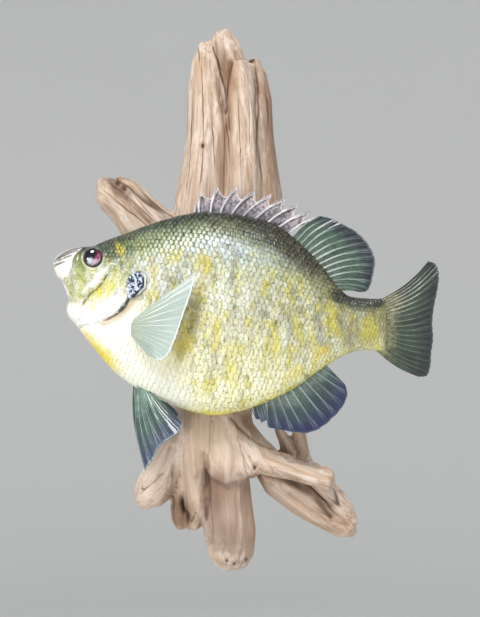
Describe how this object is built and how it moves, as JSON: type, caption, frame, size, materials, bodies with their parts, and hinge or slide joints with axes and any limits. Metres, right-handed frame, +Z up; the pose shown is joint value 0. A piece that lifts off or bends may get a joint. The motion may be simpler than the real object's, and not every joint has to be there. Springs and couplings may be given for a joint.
{
  "type": "mounted bluegill sunfish on driftwood",
  "caption": "Deep-bodied sunfish mounted in side view, head to the left, with spread fins, resting on an upright piece of driftwood with a tall spire and spreading roots that hangs on a wall.",
  "frame": {"origin": "on the driftwood's flat back, behind the fish, where it meets the wall", "axes": "+Z up the wall, +X to the right as seen from the room, +Y into the wall"},
  "size_m": [0.2547, 0.1028, 0.3742],
  "materials": {
    "fish_skin": "glossy clear lacquer over scales, dark olive back, cream and yellow flank",
    "pale_skin": "glossy clear lacquer over cream skin",
    "fin": "lacquered membrane with pale rays",
    "ear_flap": "glossy blue-black",
    "eye": "polished glass over a dark red iris",
    "driftwood": "dry, weathered, fine long grain"
  },
  "bodies": {
    "root": {"head": "fish_skin", "gill_cover_left": "fish_skin", "gill_cover_right": "fish_skin", "trunk": "fish_skin", "tail_stem": "fish_skin", "upper_lip": "pale_skin", "lower_jaw": "pale_skin", "throat": "pale_skin", "dorsal_fin_spiny": "fin", "dorsal_fin_soft": "fin", "anal_fin": "fin", "tail_fin": "fin", "pelvic_fin_left": "fin", "pelvic_fin_right": "fin", "pectoral_fin_left": "fin", "pectoral_fin_right": "fin", "ear_flap_left": "ear_flap", "ear_flap_right": "ear_flap", "eye_left": "eye", "eye_right": "eye", "wood_branch": "driftwood", "wood_spire": "driftwood", "wood_heart": "driftwood", "wood_root_left": "driftwood", "wood_root_arm": "driftwood", "wood_root_nub": "driftwood", "wood_root_centre": "driftwood", "wood_root_stub": "driftwood", "wood_root_low": "driftwood"}
  },
  "joints": []
}
